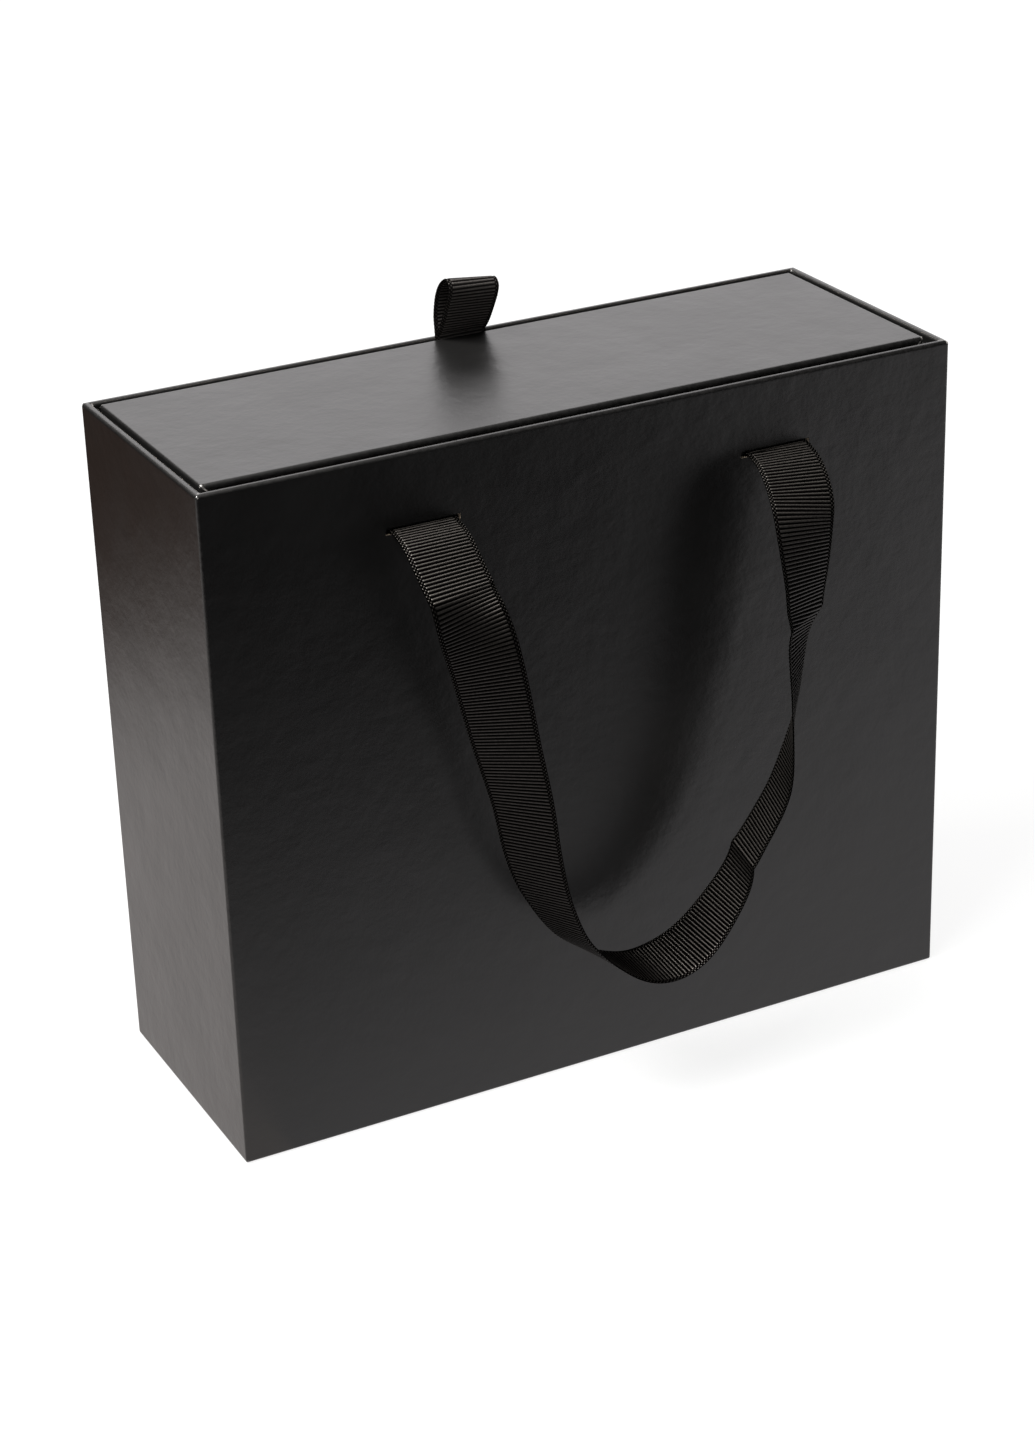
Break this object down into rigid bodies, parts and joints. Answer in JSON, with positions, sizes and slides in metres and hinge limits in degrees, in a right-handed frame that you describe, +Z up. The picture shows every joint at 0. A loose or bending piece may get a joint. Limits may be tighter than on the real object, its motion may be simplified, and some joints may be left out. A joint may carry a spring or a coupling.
{
  "type": "gift box",
  "caption": "Rigid upright gift box: wrapped sleeve with ribbon handles and a drawer-like tray that lifts out by a ribbon tab.",
  "frame": {"origin": "middle of the box's footprint, on the surface it stands on", "axes": "+X to the right along the broad faces, +Y towards the back, +Z up, the way the tray lifts out"},
  "size_m": [0.23, 0.1568, 0.2204],
  "materials": {
    "greyboard": "matte uncoated grey board",
    "kraft_tape": "matte kraft",
    "black_wrap_paper": "satin coated, fine orange-peel texture",
    "black_lining_paper": "matte uncoated black",
    "black_ribbon": "ribbed grosgrain, soft sheen on the ribs"
  },
  "bodies": {
    "sleeve": {"sleeve_front_board": "greyboard", "sleeve_back_board": "greyboard", "sleeve_left_board": "greyboard", "sleeve_right_board": "greyboard", "sleeve_bottom_board": "greyboard", "sleeve_corner_tape_front_left": "kraft_tape", "sleeve_corner_tape_back_left": "kraft_tape", "sleeve_corner_tape_back_right": "kraft_tape", "sleeve_corner_tape_front_right": "kraft_tape", "sleeve_wrap": "black_wrap_paper", "sleeve_base_paper": "black_wrap_paper", "sleeve_side_lining": "black_lining_paper", "sleeve_bottom_lining": "black_lining_paper", "front_ribbon_end_left": "black_ribbon", "front_ribbon_end_right": "black_ribbon", "back_ribbon_end_left": "black_ribbon", "back_ribbon_end_right": "black_ribbon"},
    "front_handle": {"front_handle_loop": "black_ribbon"},
    "back_handle": {"back_handle_loop": "black_ribbon"},
    "tray": {"tray_floor_board": "greyboard", "tray_bottom_wall": "greyboard", "tray_top_wall": "greyboard", "tray_left_wall": "greyboard", "tray_right_wall": "greyboard", "tray_corner_tape_bottom_left": "kraft_tape", "tray_corner_tape_bottom_right": "kraft_tape", "tray_corner_tape_top_right": "kraft_tape", "tray_corner_tape_top_left": "kraft_tape", "tray_wrap": "black_wrap_paper", "tray_lining": "black_lining_paper", "pull_tab_tail": "black_ribbon"},
    "pull_tab": {"pull_tab_loop": "black_ribbon"}
  },
  "joints": [
    {"name": "tray_slide", "type": "slide", "parent": "sleeve", "child": "tray", "axis": [0, 0, 1], "range_m": [0, 0.21]},
    {"name": "front_handle_lift", "type": "hinge", "parent": "sleeve", "child": "front_handle", "pos_m": [0.003, -0.0568, 0.1724], "axis": [-1, 0, 0], "range_deg": [0, 165]},
    {"name": "back_handle_lift", "type": "hinge", "parent": "sleeve", "child": "back_handle", "pos_m": [-0.003, 0.0568, 0.1724], "axis": [1, 0, 0], "range_deg": [0, 165]},
    {"name": "pull_tab_flex", "type": "hinge", "parent": "tray", "child": "pull_tab", "pos_m": [-0.0011, 0.0361, 0.2027], "axis": [1, 0, 0], "range_deg": [-25, 40], "stiffness_Nm_per_rad": 0.002}
  ]
}
